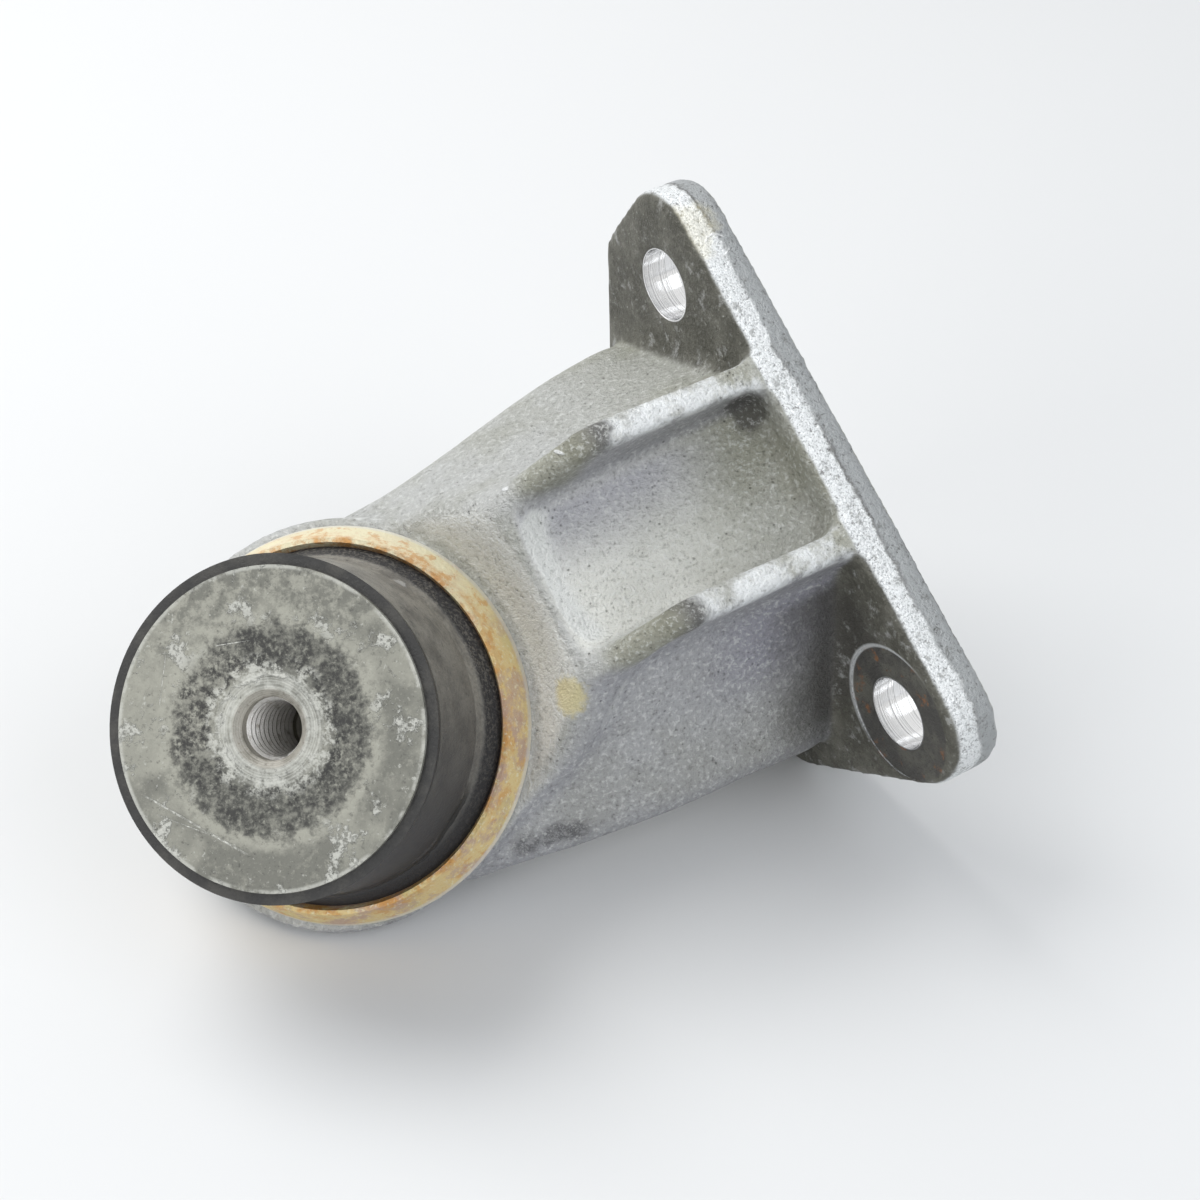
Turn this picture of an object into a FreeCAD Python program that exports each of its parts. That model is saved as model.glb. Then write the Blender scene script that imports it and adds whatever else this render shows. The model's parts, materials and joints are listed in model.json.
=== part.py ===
import FreeCAD, Part
import math
import os
import re
import Sketcher

# Engine mount: a cast aluminium arm with a three-hole flange at one end and, in the boss at
# the other, a rubber buffer bonded between a steel sleeve and a threaded disc.
# Each piece is drawn in the buffer's frame (X across the arm, Y towards the flange, Z out of
# the threaded disc) and is then laid as the part lies on a bench.

doc = FreeCAD.newDocument("EngineMount")

sizes = {
    # threaded disc
    "discDiameter": 52,
    "discThickness": 4,
    "hubDiameter": 24,
    "hubDepth": 27,
    "tapDiameter": 10.2,
    "tapDepth": 24,
    "tapMouth": 12.4,
    # rubber buffer
    "rubberDiameter": 55,
    "rubberRim": 0.4,
    "rimDrop": 0.7,
    "rimDepth": 3,
    "standHeight": 25,
    "footFlare": 2,
    "footDepth": 1.5,
    # steel sleeve
    "collarDiameter": 68.6,
    "collarHeight": 6,
    "collarSlope": 2.4,
    "collarLip": 0.8,
    "collarOverlap": 3.3,
    "sleeveWall": 2.5,
    "sleeveEnd": 20,
    "sleeveDepth": 16,
    # boss of the casting
    "bossDiameter": 72,
    "bossLand": 3,
    "bossFloor": 6,
    "reliefRise": 10,
    "reliefSlope": 48,
    # mounting flange
    "flangeTilt": 54.4,
    "flangeReach": 83.1,
    "flangeDrop": 48.8,
    "flangeThickness": 9.5,
    "holeSpacing": 85,
    "holeDiameter": 13,
    "nearMargin": 15,
    "leftMargin": 15.5,
    "rightMargin": 14,
    "leftDrop": 11.3,
    "rightDrop": 1,
    "thirdShift": 7,
    "thirdDrop": 58,
    "apexShift": 4,
    "apexReach": 21.7,
    "shoulderInset": 1,
    "shoulderDrop": 40.4,
    "spotDiameter": 25,
    "spotDepth": 0.5,
    "cornerRadius": 11,
    "earRadius": 15,
    "edgeRadius": 1.2,
    # ribs and the pocket between them
    "ribWidth": 5,
    "ribGap": 27.5,
    "ribShift": 2.3,
    "crestInset": 0.5,
    "crestLength": 33.5,
    "crestFall": 5.5,
    "crestRun": 20,
    "kneeRadius": 8,
    "floorStart": 44,
    "floorHeight": -26,
    "floorSlope": 21.3,
    "pocketEnd": 44.5,
    "pocketRadius": 8,
    "pocketFillet": 3,
    "floorRadius": 2,
    # trunk between boss and flange, section by section: y place, top height, top left and
    # right, widest left and right, height of the widest line, bottom height
    "rootPlace": 4, "rootTop": -33, "rootTopLeft": -16, "rootTopRight": 14,
    "rootLeft": -35.7, "rootRight": 37, "rootWaist": -34.5, "rootBottom": -50,
    "neckPlace": 30, "neckTop": -18.5, "neckTopLeft": -18.5, "neckTopRight": 14,
    "neckLeft": -36, "neckRight": 41.2, "neckWaist": -43, "neckBottom": -60,
    "midPlace": 52, "midTop": -26.6, "midTopLeft": -18.5, "midTopRight": 14,
    "midLeft": -41.2, "midRight": 42.5, "midWaist": -54, "midBottom": -77,
    "footTopLeft": -18.5, "footTopRight": 14,
    "footLeft": -43, "footRight": 40, "footWaist": -25, "footBottom": -44,
    "waistRadius": 5,
    # how the part lies on a bench: turns about the level axes, then about the upright one
    "layYaw": -56.73,
    "layPitch": 36.82,
    "layRoll": 35.69,
}

sheet = doc.addObject("Spreadsheet::Sheet", "Sizes")
for row, (alias, value) in enumerate(sizes.items(), start=1):
    sheet.set(f"A{row}", alias)
    sheet.set(f"B{row}", str(value))
    sheet.setAlias(f"B{row}", alias)
doc.recompute()


def expression(formula):
    """A formula in sheet names, written out for FreeCAD's expression engine."""
    def inSheet(word):
        return "Sizes." + word[0] if word[0] in sizes else word[0]
    return re.sub(r"[A-Za-z]\w*", inSheet, formula)


def number(formula):
    return float(sheet.evalExpression(expression(formula)))


def newBody(name):
    body = doc.addObject("PartDesign::Body", name)
    body.Label = name
    return body


def originPlane(body, role):
    return next(item for item in body.Origin.OriginFeatures if item.Role == role)


def newSketch(body, name, role, shift=None, tilt=None):
    """A sketch on one of the body's origin planes, shifted and tilted about its X axis."""
    sketch = body.newObject("Sketcher::SketchObject", name)
    sketch.AttachmentSupport = [(originPlane(body, role), "")]
    sketch.MapMode = "FlatFace"
    if tilt:
        turn = FreeCAD.Rotation(FreeCAD.Vector(1, 0, 0), number(tilt))
        sketch.AttachmentOffset = FreeCAD.Placement(FreeCAD.Vector(), turn)
        sketch.setExpression("AttachmentOffset.Rotation.Angle", expression(tilt))
    for axis, formula in (shift or {}).items():
        sketch.setExpression(f"AttachmentOffset.Base.{axis}", expression(formula))
    return sketch


def pin(sketch, item, end, formulas):
    """Hold one point of a sketch at the place that two formulas give."""
    for kind, axis, formula in zip(("DistanceX", "DistanceY"), (-2, -1), formulas):
        if formula == "0":
            sketch.addConstraint(Sketcher.Constraint("PointOnObject", item, end, axis))
        else:
            rule = Sketcher.Constraint(kind, -1, 1, item, end, number(formula))
            index = sketch.addConstraint(rule)
            sketch.setExpression(f"Constraints[{index}]", expression(formula))


def drawOutline(sketch, corners):
    """A closed outline of straight lines through corners given as pairs of formulas."""
    points = [FreeCAD.Vector(number(across), number(up), 0) for across, up in corners]
    count = len(points)
    for index, start in enumerate(points):
        sketch.addGeometry(Part.LineSegment(start, points[(index + 1) % count]), False)
    for index in range(count):
        follower = (index + 1) % count
        sketch.addConstraint(Sketcher.Constraint("Coincident", index, 2, follower, 1))
    for index, corner in enumerate(corners):
        pin(sketch, index, 1, corner)


def drawCircle(sketch, centre, diameter):
    place = FreeCAD.Vector(number(centre[0]), number(centre[1]), 0)
    circle = Part.Circle(place, FreeCAD.Vector(0, 0, 1), number(diameter) / 2)
    item = sketch.addGeometry(circle, False)
    pin(sketch, item, 3, centre)
    index = sketch.addConstraint(Sketcher.Constraint("Diameter", item, number(diameter)))
    sketch.setExpression(f"Constraints[{index}]", expression(diameter))


def turned(body, kind, name, corners):
    """A revolved feature about the buffer's axis, from corners given as radius and height."""
    sketch = newSketch(body, name + "Profile", "XZ_Plane")
    drawOutline(sketch, corners)
    feature = body.newObject(kind, name)
    feature.Profile = sketch
    feature.ReferenceAxis = (sketch, ["V_Axis"])
    feature.Angle = 360
    doc.recompute()
    return feature


def extruded(body, kind, name, sketch, length, reverse=False, middle=False):
    feature = body.newObject(kind, name)
    feature.Profile = sketch
    feature.Reversed = reverse
    feature.Midplane = middle
    feature.setExpression("Length", expression(length))
    doc.recompute()
    return feature


def alongEdge(edge):
    """Start, middle and end of an edge."""
    first, last = edge.FirstParameter, edge.LastParameter
    return [edge.valueAt(place) for place in (first, (first + last) / 2, last)]


def rounded(body, name, base, wanted, radius):
    """A fillet on the edges of a feature whose start, middle and end pass a test."""
    names = [f"Edge{index}" for index, edge in enumerate(base.Shape.Edges, start=1)
             if wanted(*alongEdge(edge))]
    feature = body.newObject("PartDesign::Fillet", name)
    feature.Base = (base, names)
    feature.setExpression("Radius", expression(radius))
    doc.recompute()
    return feature


def inFlange(sketch):
    """Move a sketch on the XY plane to the face of the tilted mounting flange."""
    turn = FreeCAD.Rotation(FreeCAD.Vector(1, 0, 0), number("flangeTilt"))
    sketch.AttachmentOffset = FreeCAD.Placement(FreeCAD.Vector(), turn)
    sketch.setExpression("AttachmentOffset.Rotation.Angle", "Sizes.flangeTilt")
    sketch.setExpression("AttachmentOffset.Base.y", "Sizes.flangeReach")
    sketch.setExpression("AttachmentOffset.Base.z", "-Sizes.flangeDrop")


def trunkSection(sketch, stage, top):
    """One ten-cornered section of the trunk: flat top, hollowed flanks, narrower keel."""
    waist = f"{stage}Waist"
    keel = f"{stage}Bottom"
    left = f"{stage}Left"
    right = f"{stage}Right"
    topLeft = f"{stage}TopLeft"
    topRight = f"{stage}TopRight"
    drawOutline(sketch, [
        (topLeft, top),
        (topRight, top),
        (f"{topRight} * 0.56 + {right} * 0.44", f"{top} * 0.5 + {waist} * 0.5"),
        (right, waist),
        (f"{right} * 0.93", f"{waist} * 0.65 + {keel} * 0.35"),
        (f"{right} * 0.6", keel),
        (f"{left} * 0.55", keel),
        (f"{left} * 0.93", f"{waist} * 0.65 + {keel} * 0.35"),
        (left, waist),
        (f"{topLeft} * 0.6 + {left} * 0.4", f"{top} * 0.5 + {waist} * 0.5"),
    ])


def seenFromFlange(point):
    """A point as the flange has it: across, down from the bolt line, out of the front face."""
    tilt = math.radians(number("flangeTilt"))
    reach = point.y - number("flangeReach")
    height = point.z + number("flangeDrop")
    down = -reach * math.cos(tilt) - height * math.sin(tilt)
    return point.x, down, height * math.cos(tilt) - reach * math.sin(tilt)


def makeBracket():
    body = newBody("bracket")
    # height on the flange, above its bolt line, at which the sloping pocket floor meets it
    floorMeet = ("(floorHeight + flangeDrop - tan(floorSlope) * (flangeReach - floorStart))"
                 " / (sin(flangeTilt) + tan(floorSlope) * cos(flangeTilt))")

    plate = newSketch(body, "plateOutline", "XY_Plane")
    inFlange(plate)
    leftEdge = "0 - holeSpacing / 2 - leftMargin"
    rightEdge = "holeSpacing / 2 + rightMargin"
    drawOutline(plate, [
        (leftEdge, "nearMargin"),
        (leftEdge, "0 - leftDrop"),
        ("0 - thirdShift - apexShift", "0 - thirdDrop - apexReach"),
        ("holeSpacing / 2 - shoulderInset", "0 - shoulderDrop"),
        (rightEdge, "0 - rightDrop"),
        (rightEdge, "nearMargin"),
    ])
    flange = extruded(body, "PartDesign::Pad", "flange", plate, "flangeThickness", True)
    apex = 0 - number("thirdDrop + apexReach")

    def isCorner(start, middle, end):
        span = [seenFromFlange(point) for point in (start, end)]
        return abs(span[0][0] - span[1][0]) + abs(span[0][1] - span[1][1]) < 0.01

    def isEarTip(start, middle, end):
        return isCorner(start, middle, end) and abs(seenFromFlange(middle)[1] + apex) < 0.01

    ear = rounded(body, "thirdEar", flange, isEarTip, "earRadius")
    corners = rounded(body, "corners", ear, lambda start, middle, end: (
        isCorner(start, middle, end) and seenFromFlange(middle)[1] < -apex - number("earRadius")
    ), "cornerRadius")
    rounded(body, "flangeRims", corners, lambda start, middle, end: (
        abs(seenFromFlange(start)[2] - seenFromFlange(end)[2]) < 0.01
    ), "edgeRadius")

    sections = []
    for stage in ("root", "neck", "mid"):
        section = newSketch(body, stage + "Section", "XZ_Plane")
        section.setExpression("AttachmentOffset.Base.z", f"-Sizes.{stage}Place")
        trunkSection(section, stage, f"{stage}Top")
        sections.append(section)
    foot = newSketch(body, "footSection", "XY_Plane")
    inFlange(foot)
    trunkSection(foot, "foot", f"{floorMeet} + pocketFillet")
    sections.append(foot)
    trunk = body.newObject("PartDesign::AdditiveLoft", "trunk")
    trunk.Profile = sections[0]
    trunk.Sections = sections[1:]
    doc.recompute()

    def leavesRoot(start, middle, end):
        """Whether an edge of the trunk starts or ends at a waist or keel corner of the root."""
        waist = [(number(f"root{side}"), number("rootWaist")) for side in ("Left", "Right")]
        keel = [(number("rootLeft * 0.55"), number("rootBottom")),
                (number("rootRight * 0.6"), number("rootBottom"))]
        return (middle.y - number("rootPlace") > 1) and any(
            abs(point.y - number("rootPlace")) < 0.01
            and abs(point.x - place[0]) + abs(point.z - place[1]) < 0.01
            for point in (start, end) for place in waist + keel)

    rounded(body, "softTrunk", trunk, leavesRoot, "waistRadius")

    rim = "bossDiameter / 2"
    face = "(0 - standHeight - collarHeight)"
    turned(body, "PartDesign::Revolution", "boss", [
        ("0", face),
        (rim, face),
        (rim, f"{face} - bossLand"),
        (f"{rim} - sleeveDepth * 0.8", f"{face} - bossLand - sleeveDepth"),
        ("0", f"{face} - bossLand - sleeveDepth - bossFloor"),
    ])

    crest = "(nearMargin - crestInset)"
    cosine = "cos(flangeTilt)"
    sine = "sin(flangeTilt)"
    kneeReach = f"flangeReach + {crest} * {cosine} - crestLength * {sine}"
    kneeHeight = f"{crest} * {sine} + crestLength * {cosine} - flangeDrop"
    startReach = f"flangeReach + {crest} * {cosine} + flangeThickness / 2 * {sine}"
    startHeight = f"{crest} * {sine} - flangeThickness / 2 * {cosine} - flangeDrop"
    ribSketch = newSketch(body, "ribProfile", "YZ_Plane")
    ribSketch.setExpression(
        "AttachmentOffset.Base.z", expression("0 - ribShift - (ribGap + ribWidth) / 2"))
    drawOutline(ribSketch, [
        (startReach, startHeight),
        (kneeReach, kneeHeight),
        (f"{kneeReach} - crestRun", f"{kneeHeight} - crestFall"),
        (rim, f"{face} - bossLand"),
        (kneeReach, f"{face} - bossLand * 4"),
        (f"{startReach} - crestRun * {cosine}", f"{startHeight} - crestRun * {sine}"),
    ])
    rib = extruded(body, "PartDesign::Pad", "rib", ribSketch, "ribWidth", middle=True)
    pair = body.newObject("PartDesign::LinearPattern", "ribPair")
    pair.Originals = [rib]
    pair.Direction = (ribSketch, ["N_Axis"])
    pair.setExpression("Length", expression("ribGap + ribWidth"))
    pair.Occurrences = 2
    body.Tip = pair
    doc.recompute()

    def acrossKnee(start, middle, end):
        across, down, out = seenFromFlange(middle)
        return (abs(start.x - end.x) > 0.1 and abs(down + number(crest)) < 0.01
                and abs(out - number("crestLength")) < 0.01)

    rounded(body, "ribKnees", pair, acrossKnee, "kneeRadius")

    floorFar = f"flangeReach + {floorMeet} * {cosine}"
    floorNear = "floorHeight - (pocketEnd - floorStart) * tan(floorSlope)"
    pocketSketch = newSketch(body, "pocketProfile", "YZ_Plane")
    pocketSketch.setExpression("AttachmentOffset.Base.z", expression("0 - ribShift"))
    drawOutline(pocketSketch, [
        ("pocketEnd", floorNear),
        (floorFar, f"{floorMeet} * {sine} - flangeDrop"),
        (f"flangeReach + nearMargin * 2 * {cosine}", f"nearMargin * 2 * {sine} - flangeDrop"),
        (f"pocketEnd + crestLength * sin(floorSlope)",
         f"{floorNear} + crestLength * cos(floorSlope)"),
    ])
    pocket = extruded(body, "PartDesign::Pocket", "ribPocket", pocketSketch, "ribGap", middle=True)

    def inPocket(point):
        """How far a point lies from the pocket's centre plane, its boss end and its floor."""
        slope = math.radians(number("floorSlope"))
        along = point.y - number("floorStart")
        lift = point.z - number("floorHeight")
        return (abs(point.x + number("ribShift")), point.y - number("pocketEnd"),
                lift * math.cos(slope) + along * math.sin(slope))

    def nearCorner(start, middle, end):
        side, past, lift = inPocket(middle)
        return (abs(side - number("ribGap / 2")) < 0.01 and abs(start.x - end.x) < 0.01
                and min(abs(inPocket(start)[2]), abs(inPocket(end)[2])) < 0.01
                and past < number("pocketFillet"))

    def farCorner(start, middle, end):
        side = inPocket(middle)[0]
        return (abs(side - number("ribGap / 2")) < 0.01
                and max(abs(seenFromFlange(point)[2]) for point in (start, middle, end)) < 0.01)

    def alongFloor(start, middle, end):
        return (max(abs(inPocket(point)[2]) for point in (start, middle, end)) < 0.01
                and inPocket(middle)[0] < number("ribGap / 2 + 0.01"))

    ends = rounded(body, "pocketCorners", pocket, nearCorner, "pocketRadius")
    walls = rounded(body, "pocketFarCorners", ends, farCorner, "pocketFillet")
    rounded(body, "pocketFloor", walls, alongFloor, "floorRadius")

    turned(body, "PartDesign::Groove", "collarRelief", [
        ("0", face),
        (rim, face),
        (f"{rim} + reliefRise * tan(reliefSlope)", f"{face} + reliefRise"),
        (f"{rim} + reliefRise * tan(reliefSlope)", f"{face} + reliefRise * 3"),
        ("0", f"{face} + reliefRise * 3"),
    ])
    turned(body, "PartDesign::Groove", "sleeveSeat", [
        ("0", face),
        ("collarDiameter / 2 - collarOverlap", face),
        ("sleeveEnd", f"{face} - sleeveDepth"),
        ("0", f"{face} - sleeveDepth"),
    ])

    drill = newSketch(body, "boltCircles", "XY_Plane")
    inFlange(drill)
    for centre in (("0 - holeSpacing / 2", "0"), ("holeSpacing / 2", "0"),
                   ("0 - thirdShift", "0 - thirdDrop")):
        drawCircle(drill, centre, "holeDiameter")
    extruded(body, "PartDesign::Pocket", "boltHoles", drill, "flangeThickness")

    spot = newSketch(body, "spotCircle", "XY_Plane")
    inFlange(spot)
    drawCircle(spot, ("holeSpacing / 2", "0"), "spotDiameter")
    extruded(body, "PartDesign::Pocket", "spotFace", spot, "spotDepth")
    return body


def makeSleeve():
    """The steel sleeve: a cone seated in the boss, with a thick collar standing on its face."""
    body = newBody("outer_sleeve")
    face = "(0 - standHeight - collarHeight)"
    seat = "(collarDiameter / 2 - collarOverlap)"
    mouth = "(collarDiameter / 2 - collarSlope - collarLip)"
    turned(body, "PartDesign::Revolution", "sleeve", [
        ("collarDiameter / 2", face),
        ("collarDiameter / 2 - collarSlope", "0 - standHeight"),
        (mouth, "0 - standHeight"),
        (f"{seat} - sleeveWall", face),
        ("sleeveEnd - sleeveWall", f"{face} - sleeveDepth"),
        ("sleeveEnd", f"{face} - sleeveDepth"),
        (seat, face),
    ])
    return body


def makeBuffer():
    """The rubber: moulded round the disc and its hub, and bonded into the sleeve."""
    body = newBody("rubber_buffer")
    face = "(0 - standHeight - collarHeight)"
    seat = "(collarDiameter / 2 - collarOverlap - sleeveWall)"
    mouth = "(collarDiameter / 2 - collarSlope - collarLip)"
    turned(body, "PartDesign::Revolution", "buffer", [
        ("discDiameter / 2", "0 - rimDrop"),
        ("rubberDiameter / 2 + rubberRim", "0 - rimDrop"),
        ("rubberDiameter / 2", "0 - rimDepth"),
        ("rubberDiameter / 2 + footFlare / 4", "0 - standHeight * 0.8"),
        ("rubberDiameter / 2 + footFlare", "0 - standHeight + footDepth / 2"),
        (f"{mouth} + ({seat} - {mouth}) * footDepth / collarHeight", "0 - standHeight - footDepth"),
        (seat, face),
        ("sleeveEnd - sleeveWall", f"{face} - sleeveDepth"),
        ("0", f"{face} - sleeveDepth"),
        ("0", "0 - hubDepth"),
        ("hubDiameter / 2", "0 - hubDepth"),
        ("hubDiameter / 2", "0 - discThickness"),
        ("discDiameter / 2", "0 - discThickness"),
    ])
    return body


def makeInsert():
    """The steel disc that the engine's bracket is bolted to, with its tapped hub."""
    body = newBody("threaded_insert")
    turned(body, "PartDesign::Revolution", "disc", [
        ("0", "0"),
        ("discDiameter / 2", "0"),
        ("discDiameter / 2", "0 - discThickness"),
        ("hubDiameter / 2", "0 - discThickness"),
        ("hubDiameter / 2", "0 - hubDepth"),
        ("0", "0 - hubDepth"),
    ])
    turned(body, "PartDesign::Groove", "tapHole", [
        ("0", "0"),
        ("tapMouth / 2", "0"),
        ("tapDiameter / 2", "(tapDiameter - tapMouth) / 2"),
        ("tapDiameter / 2", "0 - tapDepth"),
        ("0", "0 - tapDepth - tapDiameter / 4"),
    ])
    return body


def laidDown(bodies):
    """The placement that lays the part on a bench, centred over the origin."""
    turn = FreeCAD.Rotation(number("layYaw"), number("layPitch"), number("layRoll"))
    whole = Part.makeCompound([body.Shape for body in bodies])
    whole.Placement = FreeCAD.Placement(FreeCAD.Vector(), turn)
    box = whole.optimalBoundingBox(True, False)
    return FreeCAD.Placement(FreeCAD.Vector(-box.Center.x, -box.Center.y, -box.ZMin), turn)


bodies = [makeBracket(), makeSleeve(), makeBuffer(), makeInsert()]
doc.recompute()
place = laidDown(bodies)
for body in bodies:
    body.Placement = place
doc.recompute()

failed = [item.Name for item in doc.Objects if {"Invalid", "Error"} & set(item.State)]
if failed:
    raise RuntimeError("failed features: " + ", ".join(failed))
for body in bodies:
    if body.Shape.isNull() or not body.Shape.isValid() or len(body.Shape.Solids) != 1:
        raise RuntimeError("bad solid: " + body.Label)

os.makedirs("parts", exist_ok=True)
for body in bodies:
    body.Shape.exportStep(f"parts/{body.Label}.step")
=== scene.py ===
import bpy
import json
import math
from functools import reduce
from mathutils import Matrix, Vector


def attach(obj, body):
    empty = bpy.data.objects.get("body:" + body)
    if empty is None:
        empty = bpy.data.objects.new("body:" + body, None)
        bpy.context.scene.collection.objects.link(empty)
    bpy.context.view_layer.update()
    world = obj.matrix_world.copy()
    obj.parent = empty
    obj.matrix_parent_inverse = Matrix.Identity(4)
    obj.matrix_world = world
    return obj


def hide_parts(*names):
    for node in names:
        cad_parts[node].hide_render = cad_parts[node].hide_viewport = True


# An engine mount: a worn aluminium casting with a rubber buffer in a yellow zinc sleeve.
# All sizes are in metres, in the frame that the solids are packed in.

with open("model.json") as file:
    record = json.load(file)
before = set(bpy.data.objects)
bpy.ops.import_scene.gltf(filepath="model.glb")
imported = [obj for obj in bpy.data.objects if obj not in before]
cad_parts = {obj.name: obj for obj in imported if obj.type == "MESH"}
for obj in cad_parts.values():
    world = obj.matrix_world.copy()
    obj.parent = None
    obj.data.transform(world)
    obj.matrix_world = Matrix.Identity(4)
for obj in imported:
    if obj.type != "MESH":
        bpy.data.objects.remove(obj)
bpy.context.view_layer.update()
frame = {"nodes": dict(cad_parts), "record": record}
nodes = frame["nodes"]
mounts = {mount["name"]: mount for mount in frame["record"]["mounts"]}
boltHoles = ("bolt_hole_left", "bolt_hole_right", "bolt_hole_low")
boreRadius = mounts["bolt_hole_left"]["dims"]["r_mm"] / 1000
flangeThickness = mounts["bolt_hole_left"]["dims"]["length_mm"] / 1000
seatRadius = 0.0125
studMountDepth = 0.0125


def placeOf(mount):
    return Vector(mounts[mount]["pos_m"])


def axisOf(mount):
    return Vector(mounts[mount]["axis"]).normalized()


# the buffer's frame: along the bolt row, towards the flange, and out of the disc
out = axisOf("stud_thread")
boltRow = placeOf("bolt_hole_right") - placeOf("bolt_hole_left")
across = (boltRow - out * boltRow.dot(out)).normalized()
toFlange = out.cross(across)
discCentre = placeOf("stud_thread") + out * studMountDepth
buffer = Matrix((across, toFlange, out)).transposed().to_4x4()
buffer.translation = discCentre
intoBuffer = buffer.inverted()

# the flange's frame: along the bolt row, up the flange, and out of its front face
flangeOut = axisOf("bolt_hole_left")
flangeUp = flangeOut.cross(across)
boltRowCentre = placeOf("bolt_hole_left") + boltRow / 2 + flangeOut * (flangeThickness / 2)


def atBuffer(x, y, z):
    return buffer @ Vector((x, y, z))


def atFlange(side, up, reach=0.0):
    return boltRowCentre + across * side + flangeUp * up + flangeOut * reach


print("places ready")


class Value:
    # a socket that sums can be written with
    def __init__(self, graph, socket):
        self.graph = graph
        self.socket = socket

    def sum(self, operation, *terms, clamp=False):
        settings = {"operation": operation, "use_clamp": clamp}
        return self.graph.add("ShaderNodeMath", settings, dict(enumerate(terms)))[0]

    def __add__(self, other):
        return self.sum("ADD", self, other)

    def __radd__(self, other):
        return self.sum("ADD", other, self)

    def __sub__(self, other):
        return self.sum("SUBTRACT", self, other)

    def __rsub__(self, other):
        return self.sum("SUBTRACT", other, self)

    def __mul__(self, other):
        return self.sum("MULTIPLY", self, other)

    def __rmul__(self, other):
        return self.sum("MULTIPLY", other, self)

    def clamped(self):
        return self.sum("ADD", self, 0.0, clamp=True)

    def size(self):
        return self.sum("ABSOLUTE", self)

    def least(self, other):
        return self.sum("MINIMUM", self, other)

    def most(self, other):
        return self.sum("MAXIMUM", self, other)

    def between(self, low, high):
        # 0 at low, 1 at high, smooth between
        return self.graph.add("ShaderNodeMapRange", {"interpolation_type": "SMOOTHSTEP"},
                              {"Value": self, "From Min": low, "From Max": high})[0]


class Graph:
    # a tree of nodes, and the one way in which nodes come into it
    def __init__(self, tree):
        self.tree = tree

    def add(self, kind, settings, sockets):
        # the new node's outputs, under their numbers and their names
        node = self.tree.nodes.new(kind)
        for name, value in settings.items():
            setattr(node, name, value)
        for name, value in sockets.items():
            self.join(node.inputs[name], value)
        outputs = [item for item in node.outputs if item.enabled]
        return {key: Value(self, item) for number, item in enumerate(outputs)
                for key in (number, item.name)}

    def join(self, socket, value):
        if isinstance(value, Value):
            self.tree.links.new(value.socket, socket)
        elif socket.type == "RGBA":
            socket.default_value = (*value, 1.0)
        else:
            socket.default_value = value


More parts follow.
